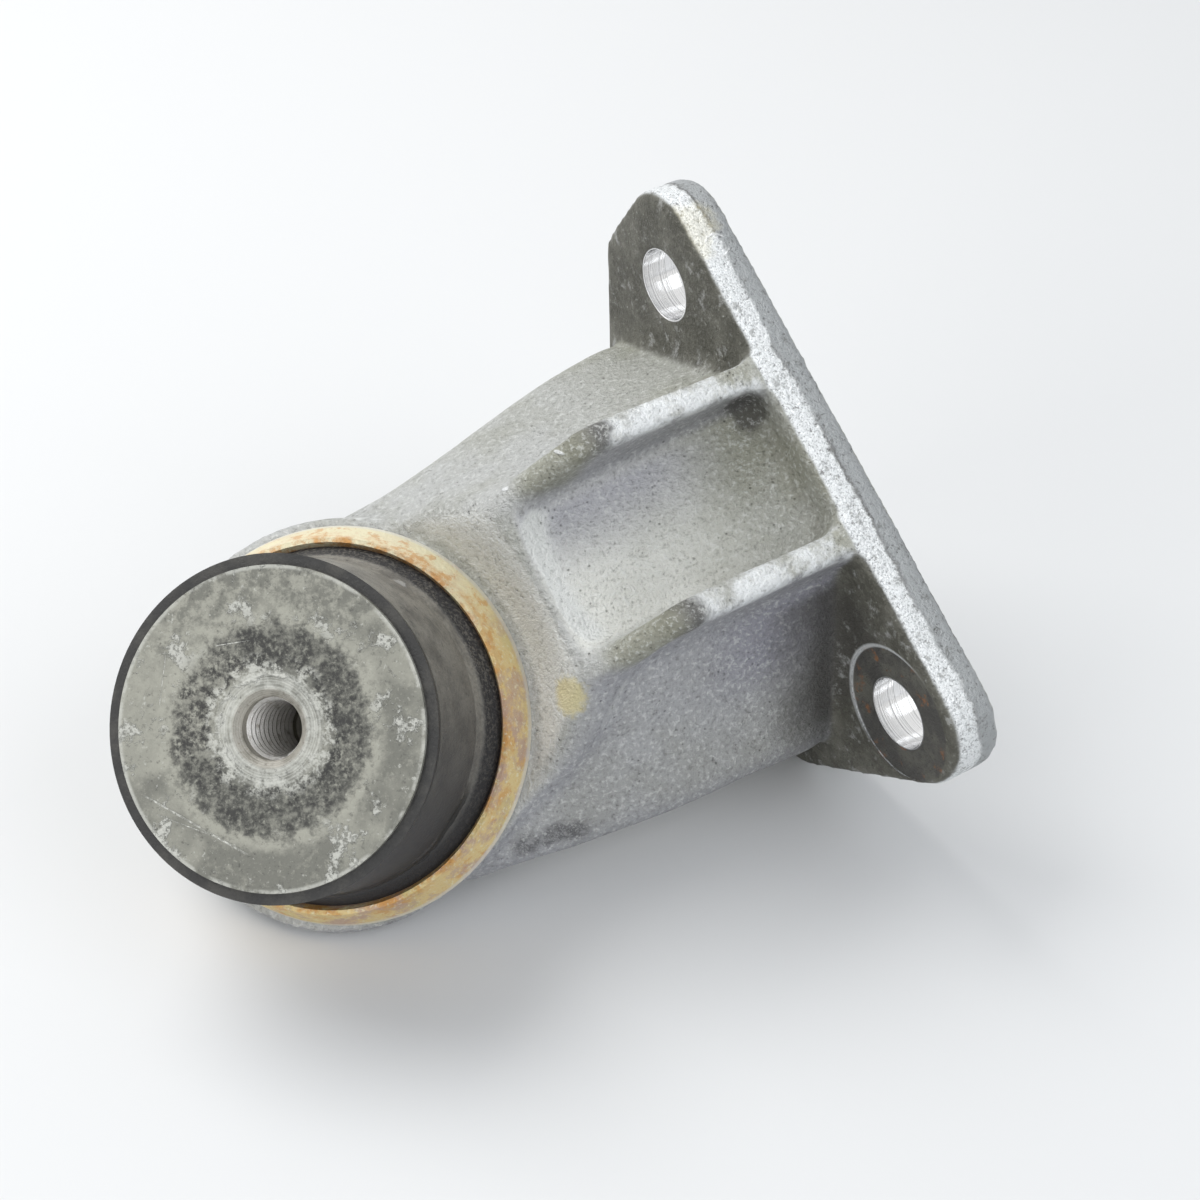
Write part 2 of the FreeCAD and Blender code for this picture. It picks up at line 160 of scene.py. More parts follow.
class Shader(Graph):
    # a material, and the look that names its colours, borders and places
    def __init__(self, name, look):
        self.look = look
        self.material = bpy.data.materials.new(name)
        self.material.use_nodes = True
        super().__init__(self.material.node_tree)
        self.surface = next(node for node in self.tree.nodes if node.type == "BSDF_PRINCIPLED")
        self.coordinates = self.add("ShaderNodeTexCoord", {}, {})["Object"]

    def colourOf(self, colour):
        return self.look[colour] if isinstance(colour, str) else colour

    def layered(self, colour, *coats):
        # a colour with others laid over it in turn, each as thickly as its share says
        for coat, share in coats:
            colour = self.add("ShaderNodeMix", {"data_type": "RGBA"}, {
                "Factor": share, 6: self.colourOf(colour), 7: self.colourOf(coat)})["Result"]
        return colour

    def within(self, distance, *borders):
        # 1 where a distance has passed these borders; the look holds where each starts and ends
        first, *others = [distance.between(*self.look[border]) for border in borders]
        return math.prod(others, start=first)

    def noise(self, size, detail, rough, seed=0.0, stretch=(1, 1, 1)):
        # clouds whose lumps are about this many metres across
        place = self.add("ShaderNodeMapping", {}, {
            "Vector": self.coordinates, "Location": (seed, seed * 0.7, seed * 1.3),
            "Scale": stretch})[0]
        return self.add("ShaderNodeTexNoise", {}, {
            "Vector": place, "Scale": 1.0 / size, "Detail": detail, "Roughness": rough})["Fac"]

    def toolMarks(self, distance, scale, detail=2.0):
        # fine uneven lines that follow each other along a distance
        return self.add("ShaderNodeTexNoise", {"noise_dimensions": "1D"}, {
            "W": distance, "Scale": scale, "Detail": detail})["Fac"]

    def cells(self, size):
        # how far it is to the nearest of many scattered points
        return self.add("ShaderNodeTexVoronoi", {}, {
            "Vector": self.coordinates, "Scale": 1.0 / size})["Distance"]

    def vector(self, operation, *terms):
        return self.add("ShaderNodeVectorMath", {"operation": operation},
                        dict(enumerate(terms)))[0]

    def along(self, direction, origin):
        # metres from a point, measured along a direction
        shifted = self.vector("SUBTRACT", self.coordinates, origin)
        return self.vector("DOT_PRODUCT", shifted, direction)

    def fromAxis(self, point, direction):
        # metres from a line through a point
        shifted = self.vector("SUBTRACT", self.coordinates, point)
        return self.vector("LENGTH", self.vector("CROSS_PRODUCT", shifted, direction))

    def far(self, point):
        return self.vector("DISTANCE", self.coordinates, point)

    def facing(self, direction):
        # how far the surface turns towards a direction, -1 to 1
        normal = self.add("ShaderNodeNewGeometry", {}, {})["Normal"]
        return self.vector("DOT_PRODUCT", normal, direction)

    def ridges(self):
        # above 0.5 on edges that stand out, below it in creases
        return self.add("ShaderNodeNewGeometry", {}, {})["Pointiness"]

    def spot(self, point, radius, ragged=None):
        # 1 near a point, 0 beyond the radius
        distance = self.far(point)
        if ragged:
            distance = distance + (ragged - 0.5) * (radius * 1.6)
        return distance.between(radius, radius * 0.55)

    def scratch(self, start, end, width):
        # 1 on a thin straight mark
        middle, direction = (start + end) / 2, (end - start).normalized()
        half = (end - start).length / 2
        return (self.fromAxis(middle, direction).between(width, width * 0.5)
                * self.along(direction, middle).size().between(half, half * 0.85))

    def finish(self, colour, rough, metallic, bump=None, depth=0.0):
        for name, value in (("Base Color", self.colourOf(colour)), ("Roughness", rough),
                            ("Metallic", metallic)):
            self.join(self.surface.inputs[name], value)
        if bump:
            bumped = self.add("ShaderNodeBump", {}, {"Height": bump, "Distance": depth})
            self.join(self.surface.inputs["Normal"], bumped["Normal"])
        return self.material


def dress(piece, material):
    piece.data.materials.clear()
    piece.data.materials.append(material)
    for face in piece.data.polygons:
        face.material_index = 0


def only(piece):
    bpy.ops.object.select_all(action="DESELECT")
    piece.select_set(True)
    bpy.context.view_layer.objects.active = piece


def rod(centre, direction, radius, length, sides=64):
    # a round bar about a point, its place kept in its mesh
    bpy.ops.object.select_all(action="DESELECT")
    bpy.ops.mesh.primitive_cylinder_add(vertices=sides, radius=radius, depth=length)
    bar = bpy.context.object
    turn = direction.to_track_quat("Z", "Y").to_matrix().to_4x4()
    bar.data.transform(Matrix.Translation(centre) @ turn)
    return bar


def joined(pieces, name):
    only(pieces[0])
    for piece in pieces[1:]:
        piece.select_set(True)
    bpy.ops.object.join()
    pieces[0].name = name
    return pieces[0]


def finishWith(piece, kind, **settings):
    only(piece)
    step = piece.modifiers.new(kind.lower(), kind)
    for name, value in settings.items():
        setattr(step, name, value)
    bpy.ops.object.modifier_apply(modifier=step.name)


def finishWhere(piece, name, weightAt, kind, **settings):
    # a modifier that works on each point as much as the weight there says
    group = piece.vertex_groups.new(name=name)
    for vertex in piece.data.vertices:
        weight = weightAt(vertex.co)
        if weight > 0.001:
            group.add([vertex.index], weight, "REPLACE")
    finishWith(piece, kind, vertex_group=name, **settings)


def copyOf(node, name):
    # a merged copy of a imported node's loose triangles
    piece = nodes[node].copy()
    piece.data = nodes[node].data.copy()
    piece.name = name
    piece.parent = None
    bpy.context.scene.collection.objects.link(piece)
    only(piece)
    bpy.ops.object.mode_set(mode="EDIT")
    bpy.ops.mesh.select_all(action="SELECT")
    bpy.ops.mesh.remove_doubles(threshold=0.000002)
    bpy.ops.mesh.mark_sharp(clear=True)
    bpy.ops.object.mode_set(mode="OBJECT")
    bpy.ops.mesh.customdata_custom_splitnormals_clear()
    return piece


def cloudTexture(name, size):
    texture = bpy.data.textures.new(name, "CLOUDS")
    texture.noise_scale = size
    texture.noise_depth = 2
    return texture


def fade(value, low, high):
    # 0 at low, 1 at high, straight between
    return min(max((value - low) / (high - low), 0.0), 1.0)


castSizes = {
    "plugRadiusShare": 1.1, "plugLengthShare": 0.94, "voxel": 0.0009, "softRounds": 6,
    "armRounds": 28, "armReach": (0.004, 0.010), "armTop": (0.006, -0.004),
    "landEdge": (0.0358, 0.0385),
    "sweepRounds": 46, "sweepInside": (0.0368, 0.0405), "sweepOutside": (0.066, 0.050),
    "sweepDepth": (-0.062, -0.046), "sweepStart": (-0.004, 0.008),
    "flankStep": 0.0016, "flankWidth": 0.0026, "flankLine": (0.0385, -0.5, 25.0),
    "flankSide": (0.013, 0.018), "flankReach": (0.004, 0.018), "flankTop": (0.009, 0.002),
    "flankFoot": (-0.046, -0.034),
    "waves": 0.00026, "waveSize": 0.011, "waveMiddle": 0.78,
    "dents": 0.0001, "dentSize": 0.0028, "dentMiddle": 0.8,
    "seatDepth": 0.0005, "boreCut": 0.03, "seatCut": 0.005, "smoothAngle": 66,
}


def inFlange(place):
    # along the bolt row, up the flange, and out of its front face
    off = place - boltRowCentre
    return off.dot(across), off.dot(flangeUp), off.dot(flangeOut)


def armWeight(place):
    # the arm and the boss's rim are rounder than the flange and the tops of the ribs
    up, reach = inFlange(place)[1:]
    radius = (intoBuffer @ place).xy.length
    return (fade(reach, *castSizes["armReach"]) * fade(up, *castSizes["armTop"])
            * fade(radius, *castSizes["landEdge"]))


def sweepWeight(place):
    # the ribs come down into the boss in one sweep, so the border of its relief is softest
    at = intoBuffer @ place
    radius = at.xy.length
    return (fade(radius, *castSizes["sweepInside"]) * fade(radius, *castSizes["sweepOutside"])
            * fade(at.z, *castSizes["sweepDepth"]) * fade(at.y, *castSizes["sweepStart"]))


def flankWeight(place):
    # the right flank is set back behind a line that sweeps from the rib's knee to the boss
    side, up, reach = inFlange(place)
    start, slope, curve = castSizes["flankLine"]
    line = start + slope * up + curve * up * up
    return (fade(line - reach, 0.0, castSizes["flankWidth"])
            * fade(side, *castSizes["flankSide"]) * fade(reach, *castSizes["flankReach"])
            * fade(up, *castSizes["flankTop"]) * fade(up, *castSizes["flankFoot"]))


def laySkin(piece):
    # even faces over the whole outside
    piece.data.remesh_voxel_size = castSizes["voxel"]
    piece.data.use_remesh_preserve_volume = False
    piece.data.use_remesh_fix_poles = False
    piece.data.use_remesh_preserve_attributes = False
    only(piece)
    bpy.ops.object.voxel_remesh()


def cutHoles(piece, holes):
    seatCut = castSizes["seatCut"]
    seat = placeOf("bolt_hole_right") + flangeOut * (
        flangeThickness / 2 - castSizes["seatDepth"] + seatCut / 2)
    cutters = [rod(centre, flangeOut, boreRadius, castSizes["boreCut"]) for centre in holes]
    cutters.append(rod(seat, flangeOut, seatRadius, seatCut, 96))
    for cutter in cutters:
        finishWith(piece, "BOOLEAN", operation="DIFFERENCE", object=cutter, solver="EXACT")
        bpy.data.objects.remove(cutter)


def makeCasting():
    # the bores are filled while the skin is softened, and cut again after it
    holes = [placeOf(name) for name in boltHoles]
    plugs = [rod(centre, flangeOut, boreRadius * castSizes["plugRadiusShare"],
                 flangeThickness * castSizes["plugLengthShare"]) for centre in holes]
    piece = joined([copyOf("bracket", "casting")] + plugs, "casting")
    laySkin(piece)
    finishWhere(piece, "arm", armWeight, "SMOOTH", iterations=castSizes["armRounds"], factor=0.5)
    finishWhere(piece, "sweep", sweepWeight, "SMOOTH", iterations=castSizes["sweepRounds"],
                factor=0.5)
    finishWhere(piece, "flank", flankWeight, "DISPLACE", strength=-castSizes["flankStep"],
                mid_level=0.0)
    # smoothing crowds the faces on a ridge, so the skin is laid evenly again
    laySkin(piece)
    finishWith(piece, "SMOOTH", iterations=castSizes["softRounds"], factor=0.5)
    finishWith(piece, "DISPLACE", texture=cloudTexture("castWaves", castSizes["waveSize"]),
               strength=castSizes["waves"], mid_level=castSizes["waveMiddle"])
    finishWith(piece, "DISPLACE", texture=cloudTexture("castDents", castSizes["dentSize"]),
               strength=castSizes["dents"], mid_level=castSizes["dentMiddle"])
    cutHoles(piece, holes)
    only(piece)
    bpy.ops.object.shade_smooth_by_angle(angle=math.radians(castSizes["smoothAngle"]))
    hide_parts("bracket")
    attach(piece, "root")
    return piece


casting = makeCasting()
print("casting ready,", len(casting.data.polygons), "faces")


def makeThread():
    # the ridge of the tapped hole: its section carried round and down with a screw
    thread = {"wall": 0.00512, "crest": 0.00462, "crestWidth": 0.0003, "footShare": 0.46,
              "pitch": 0.00175, "top": -0.0016, "turns": 11, "steps": 40, "smoothAngle": 30}
    bpy.ops.object.select_all(action="DESELECT")
    bpy.ops.mesh.primitive_circle_add(vertices=4, radius=0.001)
    piece = bpy.context.object
    piece.name = "tapThread"
    foot, half = thread["pitch"] * thread["footShare"], thread["crestWidth"] / 2
    section = ((thread["wall"], -foot), (thread["crest"], -half),
               (thread["crest"], half), (thread["wall"], foot))
    for vertex, (radius, height) in zip(piece.data.vertices, section):
        vertex.co = Vector((radius, 0, height + thread["top"] - thread["pitch"] / 2))
    finishWith(piece, "SCREW", angle=math.tau, screw_offset=-thread["pitch"],
               iterations=thread["turns"], steps=thread["steps"], render_steps=thread["steps"],
               use_smooth_shade=False, use_merge_vertices=False)
    bpy.ops.object.mode_set(mode="EDIT")
    bpy.ops.mesh.select_all(action="SELECT")
    bpy.ops.mesh.fill_holes(sides=0)
    bpy.ops.mesh.select_all(action="SELECT")
    bpy.ops.mesh.normals_make_consistent(inside=False)
    bpy.ops.object.mode_set(mode="OBJECT")
    piece.data.transform(buffer)
    bpy.ops.object.shade_smooth_by_angle(angle=math.radians(thread["smoothAngle"]))
    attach(piece, "root")
    return piece


tapThread = makeThread()
print("thread ready,", len(tapThread.data.polygons), "faces")


class CastSkin(Shader):
    # the casting's aluminium: one coat for each region, laid by where it is on the flange
    def __init__(self):
        super().__init__("castAluminium", {
            "grey": (0.49, 0.495, 0.48), "olive": (0.30, 0.30, 0.235),
            "shadeViolet": (0.27, 0.27, 0.325), "pale": (0.76, 0.77, 0.745),
            "cream": (0.82, 0.82, 0.765), "shade": (0.36, 0.36, 0.42),
            "worn": (0.80, 0.82, 0.825), "rear": (0.36, 0.375, 0.38),
            "pitAndShade": (0.055, 0.052, 0.045), "ear": (0.070, 0.068, 0.052),
            "earLight": (0.150, 0.147, 0.120), "seat": (0.062, 0.060, 0.054),
            "machined": (0.80, 0.80, 0.80), "rust": (0.23, 0.11, 0.05),
            "stain": (0.74, 0.65, 0.34), "smear": (0.05, 0.05, 0.055),
            "mark": (0.86, 0.87, 0.87),
            # along the bolt row
            "pocketLeft": (-0.0170, -0.0125), "pocketRight": (0.0125, 0.0090),
            "wallLeft": (-0.0195, -0.0175), "wallRight": (0.0150, 0.0130),
            "underRibLeft": (0.015, 0.018), "underRibRight": (0.031, 0.022),
            "cornerLeft": (0.0165, 0.0195), "cornerRight": (0.044, 0.034),
            "byLeftRib": (0.001, -0.013), "arcRight": (0.0440, 0.0330),
            # up the flange
            "crestUp": (0.0112, 0.0134), "fallUp": (-0.001, 0.004), "reliefUp": (-0.034, -0.016),
            "wallTop": (-0.012, -0.008),
            # out of the flange's front face
            "pocketFoot": (0.004, 0.024), "pocketEnd": (0.046, 0.044), "oliveReach": (0.036, 0.004),
            "underRibReach": (0.030, 0.012), "bossReach": (0.030, 0.040),
            "reliefReach": (0.034, 0.042), "fallStart": (0.031, 0.036), "fallEnd": (0.050, 0.043),
            "crestReach": (-0.0004, 0.0016), "cornerReach": (0.0165, 0.0020),
            "faceFront": (0.0046, 0.0008), "faceRear": (-0.0030, -0.0016),
            "rimFront": (0.0002, -0.0004), "boreFront": (0.0004, -0.0001),
            "parting": (-0.0056, -0.0046), "lineRear": (-0.0058, -0.0051),
            "lineFront": (-0.0044, -0.0051), "backReach": (-0.0088, -0.0093),
            # out from the middle of a mark
            "seatEdge": (seatRadius + 0.0003, seatRadius - 0.0001),
            "boreEdge": (boreRadius + 0.00035, boreRadius + 0.00012),
            "arcInside": (0.0120, 0.0124), "arcOutside": (0.0132, 0.0127),
            "smearWidth": (0.0030, 0.0008), "smearLength": (0.0085, 0.0050),
            "dentInside": (0.0018, 0.0020), "dentOutside": (0.0024, 0.0022),
            "dentGap": (0.0008, 0.0014),
            # along the bolt row, up the flange and out of its front face
            "millCentre": (0.0, -0.16, -flangeThickness),
            "leftKnee": (-0.0200, 0.0132, 0.0340), "rightKnee": (0.0143, 0.0132, 0.0340),
            "pocketDarkSpot": (-0.0150, 0.0085, 0.0015), "earShade": (0.026, -0.006, 0.0),
            "bossStain": (0.0155, -0.0064, 0.0490), "rimStain": (-0.0454, 0.0148, -0.0012),
            "smearStart": (0.0340, -0.0272, 0.0620), "smearEnd": (0.0360, -0.0236, 0.0500),
            "lowScratch": ((-0.0215, -0.0030, 0.0475), (-0.0192, 0.0002, 0.0440), 0.00050),
            "highScratch": ((-0.0225, 0.0075, 0.0395), (-0.0185, 0.0100, 0.0365), 0.00042),
            "dent": (-0.0412, 0.0150, -0.0045), "dentMiddle": (-0.0412, 0.0, 0.0),
        })
        self.clouds = self.noise(0.026, 4.0, 0.6)
        self.blotches = self.noise(0.007, 5.0, 0.68, seed=3.1)
        self.grain = self.noise(0.0009, 4.0, 0.7)
        self.fine = self.noise(0.00035, 2.0, 0.6, seed=1.7)
        self.ridge = self.ridges()
        self.side = self.along(across, boltRowCentre)
        self.up = self.along(flangeUp, boltRowCentre)
        self.reach = self.along(flangeOut, boltRowCentre)
        self.facingOut = self.facing(flangeOut)
        self.pits = (self.cells(0.0010).between(0.24, 0.06) * self.blotches.between(0.44, 0.62)
                     * self.grain.between(0.60, 0.40))
        self.crest = self.within(self.up, "crestUp") * self.within(self.reach, "crestReach")
        self.onRim = self.facingOut.size().between(0.82, 0.50) * self.within(self.reach, "rimFront")
        self.onFace = self.whereFace()
        self.inBore = self.whereBore()

    def strayed(self, distance, byBlotches, byGrain=None):
        # a distance that wanders by up to half of these to each side
        distance = distance + (self.blotches - 0.5) * byBlotches
        return distance + (self.grain - 0.5) * byGrain if byGrain else distance

    def at(self, name):
        return atFlange(*self.look[name])

    def whereFace(self):
        # the ears' front faces, without the wall that the pocket ends at
        inWall = (self.within(self.side, "wallLeft", "wallRight")
                  * self.within(self.up, "wallTop"))
        border = self.strayed(self.reach, 0.0070, 0.0060)
        return (self.facingOut.between(0.30, 0.86) * self.within(border, "faceFront")
                * self.within(self.reach, "faceRear") * (1.0 - inWall * 0.85))

    def whereBore(self):
        distances = [self.fromAxis(placeOf(name), flangeOut) for name in boltHoles]
        return (self.within(reduce(Value.least, distances), "boreEdge")
                * self.within(self.reach, "boreFront"))

    def sandCast(self, colour):
        # olive towards the flange, cream in the pocket, painted shade in bluish tones away from the
        # light, under the right rib and beside the left rib, a dark spot in the pocket's corner,
        # painted light in pale on the boss's end and relief, and painted shade in the creases
        olive = (self.clouds.between(0.40, 0.64) * 0.45
                 + self.within(self.reach, "oliveReach") * 0.45)
        shadeUnderRib = (self.within(self.side, "underRibLeft", "underRibRight")
                    * self.within(self.reach, "underRibReach"))
        inPocket = (self.within(self.side, "pocketLeft", "pocketRight")
                    * self.within(self.reach, "pocketFoot", "pocketEnd"))
        byLeftRib = self.within(self.side + (self.clouds - 0.5) * 0.008, "byLeftRib")
        # a dark spot in the pocket's corner by the flange's face
        darkSpot = self.spot(self.at("pocketDarkSpot"), 0.0062, self.blotches)
        # painted light: the boss's end wall and the relief around the boss are made pale
        paintedLightBossEnd = self.facing(toFlange).between(0.40, 0.62) * self.within(self.reach, "bossReach")
        relief = (self.facing(-toFlange).between(0.25, 0.55)
                  * self.within(self.reach, "reliefReach") * self.within(self.up, "reliefUp"))
        return self.layered(
            colour,
            ("olive", olive.clamped()),
            # painted shade: bluish on faces turned away from the light, and under the right rib
            ("shadeViolet", self.facing(across).between(0.2, 1.0) * 0.55),
            ("shadeViolet", shadeUnderRib * 0.7),
            ("cream", inPocket * (self.clouds.between(0.72, 0.30) * 0.35 + 0.6)),
            ("shade", inPocket * byLeftRib * 0.7),
            ("pitAndShade", darkSpot * 0.8),
            # painted light on the boss's end and on its relief
            ("pale", paintedLightBossEnd),
            ("pale", relief * (self.clouds.between(0.7, 0.3) * 0.35 + 0.62)),
            # painted shade: dark in the creases
            ("pitAndShade", self.ridge.between(0.485, 0.44) * (self.blotches * 0.5 + 0.25)))

    def ribTops(self, colour):
        # worn along the level run, pitted at the knees, olive where they come down
        leftKnee = self.spot(self.at("leftKnee"), 0.0062, self.blotches)
        rightKnee = self.spot(self.at("rightKnee"), 0.0062, self.blotches)
        falling = (self.within(self.reach, "fallStart", "fallEnd")
                   * self.within(self.up, "fallUp"))
        return self.layered(
            colour,
            ("worn", self.crest * self.blotches.between(0.66, 0.44) * 0.92),
            ("pitAndShade", leftKnee.most(rightKnee) * self.grain.between(0.22, 0.46) * 0.9),
            ("olive", falling * 0.80))

    def speckle(self, colour):
        # the grain of the bare metal, and painted shade with dirt in the dark corner at the foot of
        # the right rib
        # painted shade and dirt in the deep corner at the foot of the right rib
        corner = (self.within(self.strayed(self.reach, 0.010), "cornerReach")
                  * self.within(self.side, "cornerLeft", "cornerRight"))
        rubbed = self.ridge.between(0.535, 0.60) * self.blotches.between(0.35, 0.6)
        return self.layered(
            colour,
            ("pale", self.grain.between(0.51, 0.66) * 0.46),
            ("ear", self.grain.between(0.47, 0.31) * 0.36),
            ("worn", rubbed * 0.6),
            ("pitAndShade", self.pits * 0.40),
            ("pitAndShade", corner * 0.88))

    def rim(self):
        # rubbed bright in front, greyer behind a wandering parting line
        parting = self.strayed(self.reach, 0.0036, 0.0014)
        line = self.within(parting, "lineRear", "lineFront")
        stains = self.noise(0.0022, 4.0, 0.7, seed=6.0)
        return self.layered(
            "rear",
            ("worn", self.within(parting, "parting")),
            ("pitAndShade", (line * 0.8 * self.clouds.between(0.35, 0.6)).clamped()),
            ("pitAndShade", self.grain.between(0.43, 0.33) * 0.70),
            ("ear", stains.between(0.56, 0.66) * 0.5),
            ("rear", self.fine.between(0.50, 0.35) * 0.7))

    def ear(self):
        # dark, with pale specks and painted shade in a blacker stretch beside the right rib
        lumps = self.noise(0.0035, 5.0, 0.75, seed=12.0)
        return self.layered(
            "ear",
            ("earLight", self.blotches.between(0.40, 0.68)),
            ("earLight", self.grain.between(0.50, 0.68)),
            ("pale", self.grain.between(0.66, 0.76) * 0.7),
            # painted shade beside the right rib
            ("pitAndShade", self.spot(self.at("earShade"), 0.016) * 0.75),
            ("grey", lumps.between(0.54, 0.68) * 0.55))

    def back(self, colour):
        # milled flat, in wide arcs
        onBack = self.within(self.reach, "backReach") * self.facingOut.between(-0.8, -0.95)
        arcs = self.toolMarks(self.far(self.at("millCentre")), 1300.0)
        milled = self.layered("pale", ("rear", arcs.between(0.35, 0.75) * 0.7))
        return self.layered(colour, (milled, onBack * 0.85))

    def nutSeat(self, colour):
        # the nut's round seat, with rust and a bright arc at its border
        radius = self.fromAxis(placeOf("bolt_hole_right"), flangeOut)
        onSeat = self.within(radius, "seatEdge") * self.onFace
        rust = self.noise(0.0045, 4.0, 0.7, seed=8.0)
        seat = self.layered("seat", ("earLight", self.blotches.between(0.42, 0.66) * 0.7),
                            ("rust", rust.between(0.57, 0.66)))
        arc = (self.within(radius, "arcInside", "arcOutside")
               * self.within(self.strayed(self.side, 0.02), "arcRight") * self.onFace)
        return self.layered(colour, (seat, onSeat), ("worn", arc * 0.6))

    def stains(self, colour):
        byBoss = self.spot(self.at("bossStain"), 0.0042, self.blotches * 0.6 + self.grain * 0.4)
        onRim = self.spot(self.at("rimStain"), 0.0065, self.blotches) * 0.22 * self.onRim
        return self.layered(colour, ("stain", byBoss * 0.75), ("stain", onRim))

    def smear(self):
        # one ragged dark line down the right flank
        start, end = self.at("smearStart"), self.at("smearEnd")
        direction = (end - start).normalized()
        distance = self.strayed(self.fromAxis(start, direction), 0.010, 0.005)
        length = self.along(direction, (start + end) / 2).size()
        return (self.within(distance, "smearWidth") * self.grain.between(0.34, 0.52)
                * self.within(length, "smearLength"))

    def marks(self):
        # two bright scratches on the left rib, and a crescent dent in the flange's rim
        scratches = [self.scratch(atFlange(*start), atFlange(*end), width) for start, end, width
                     in (self.look["lowScratch"], self.look["highScratch"])]
        sideways = self.along(across, self.at("dentMiddle")).size()
        crescent = (self.within(self.far(self.at("dent")), "dentInside", "dentOutside")
                    * self.within(sideways, "dentGap"))
        return reduce(Value.most, scratches).most(crescent * 0.6)

    def finished(self):
        smear, marks = self.smear(), self.marks()
        colour = self.speckle(self.ribTops(self.sandCast("grey")))
        colour = self.layered(colour, (self.rim(), self.onRim), (self.ear(), self.onFace))
        colour = self.stains(self.nutSeat(self.back(colour)))
        turning = self.toolMarks(self.reach, 2600.0)
        turned = self.layered("machined", ("rear", turning.between(0.55, 0.9) * 0.6))
        colour = self.layered(colour, ("smear", smear * 0.8), ("mark", marks * 0.75),
                              (turned, self.inBore))
        rubbed = (self.onRim * 0.5 + self.crest * 0.35
                  + self.ridge.between(0.53, 0.60) * 0.3).clamped()
        metal = (rubbed * 0.5 + 0.30 - self.onFace * 0.22).clamped().most(self.inBore * 0.95)
        rough = (self.clouds * 0.14 + 0.42 - rubbed * 0.12 + self.onFace * 0.05
                 + self.pits * 0.2 - self.inBore * 0.28).clamped()
        cast = (self.grain * 1.10 + self.fine * 0.30 + self.blotches * 0.35 - self.pits * 0.7
                - smear * 0.2 + marks * 0.3)
        height = cast * (1.0 - self.inBore) + turning * self.inBore * 0.15
        return self.finish(colour, rough, metal, height, 0.0006)


def yellowZinc():
    zinc = Shader("yellowZinc", {
        "gold": (0.74, 0.58, 0.28), "orange": (0.62, 0.30, 0.08), "brass": (0.66, 0.55, 0.25),
        "cream": (0.82, 0.77, 0.56), "pink": (0.52, 0.36, 0.29), "lip": (0.36, 0.20, 0.15),
        "edge": (0.72, 0.70, 0.64),
        # out from the axis, along the bolt row and up
        "inward": (0.0332, 0.0312), "lipRadius": (0.0307, 0.0302), "edgeRadius": (0.0338, 0.0341),
        "paleSide": (0.004, -0.020), "lowSide": (0.012, -0.016),
    })
    clouds = zinc.noise(0.009, 4.0, 0.6)
    patches = zinc.noise(0.0042, 5.0, 0.7, seed=4.0)
    specks = zinc.noise(0.0008, 4.0, 0.72)
    blooms = zinc.noise(0.0055, 5.0, 0.7, seed=9.0)
    radius = zinc.fromAxis(discCentre, out)
    side = zinc.along(across, discCentre) + (patches - 0.5) * 0.02
    inward = zinc.within(radius + (clouds - 0.5) * 0.0030, "inward")
    low = zinc.within(zinc.along((0, 0, 1), discCentre), "lowSide")
    colour = zinc.layered(
        "brass",
        ("gold", clouds.between(0.36, 0.52)),
        ("cream", zinc.within(side, "paleSide") * 0.85),
        ("orange", inward * patches.between(0.40, 0.56) * 0.85),
        ("orange", patches.between(0.54, 0.62) * 0.6),
        ("pink", blooms.between(0.46, 0.60) * low * 0.85),
        ("cream", specks.between(0.54, 0.68) * 0.75),
        ("orange", specks.between(0.42, 0.30) * 0.6),
        ("lip", zinc.within(radius, "lipRadius") * 0.7),
        ("edge", zinc.within(radius, "edgeRadius") * 0.7))
    return zinc.finish(colour, specks * 0.2 + 0.42, 0.35, specks + patches * 0.5, 0.0003)


def mouldedRubber():
    rubber = Shader("mouldedRubber", {
        "black": (0.017, 0.017, 0.019), "dustAndSheen": (0.285, 0.268, 0.228),
        "rim": (0.012, 0.012, 0.012), "crack": (0.006, 0.006, 0.006), "nick": (0.42, 0.41, 0.38),
        # out of the disc, out from the axis and along the bolt row
        "lipDepth": (-0.0213, -0.0229), "rimDepth": (-0.0034, -0.0024),
        "crackUnder": (-0.0211, -0.0206), "crackOver": (-0.0196, -0.0201),
        "rimRadius": (0.0258, 0.0262), "crackSide": (0.020, 0.024),
        # across, towards the flange and out of the disc
        "nickPlace": (-0.0139, 0.0243, -0.0198),
    })
    dust = rubber.noise(0.006, 5.0, 0.65)
    fine = rubber.noise(0.0006, 4.0, 0.7)
    wide = rubber.noise(0.012, 3.0, 0.6, seed=2.0)
    streaks = rubber.noise(0.0016, 4.0, 0.7, seed=6.0)
    depth = rubber.along(out, discCentre)
    side = rubber.along(across, discCentre)
    radius = rubber.fromAxis(discCentre, out)
    # upward faces lighter: dust lying on them, and a painted sheen where the light falls from above
    dustAndSheenOnTop = (rubber.facing((0, 0, 1)).between(-0.45, 0.80)
             * (dust.between(0.30, 0.62) * 0.55 + 0.45)
             * (fine.between(0.30, 0.60) * 0.35 + 0.65))
    lip = rubber.within(depth, "lipDepth")
    rim = rubber.within(radius, "rimRadius") * rubber.within(depth, "rimDepth")
    wander = depth + (wide - 0.5) * 0.006 + (fine - 0.5) * 0.0008
    crack = rubber.within(wander, "crackUnder", "crackOver") * rubber.within(side, "crackSide")
    nick = rubber.spot(atBuffer(*rubber.look["nickPlace"]), 0.0016, fine)
    colour = rubber.layered(
        "black",
        ("dustAndSheen", dustAndSheenOnTop),
        ("black", streaks.between(0.60, 0.70) * 0.6),
        ("black", lip * (fine.between(0.62, 0.45) * 0.4 + 0.6)),
        ("rim", rim * (dust.between(0.7, 0.4) * 0.15 + 0.83)),
        ("crack", crack),
        ("nick", nick * 0.8))
    rough = dust * 0.18 + 0.40 + lip * 0.2
    height = fine * 0.45 + dust * 0.4 + lip * streaks * 1.4 - crack * 1.6 + nick * 0.5
    return rubber.finish(colour, rough, 0.0, height, 0.0005)


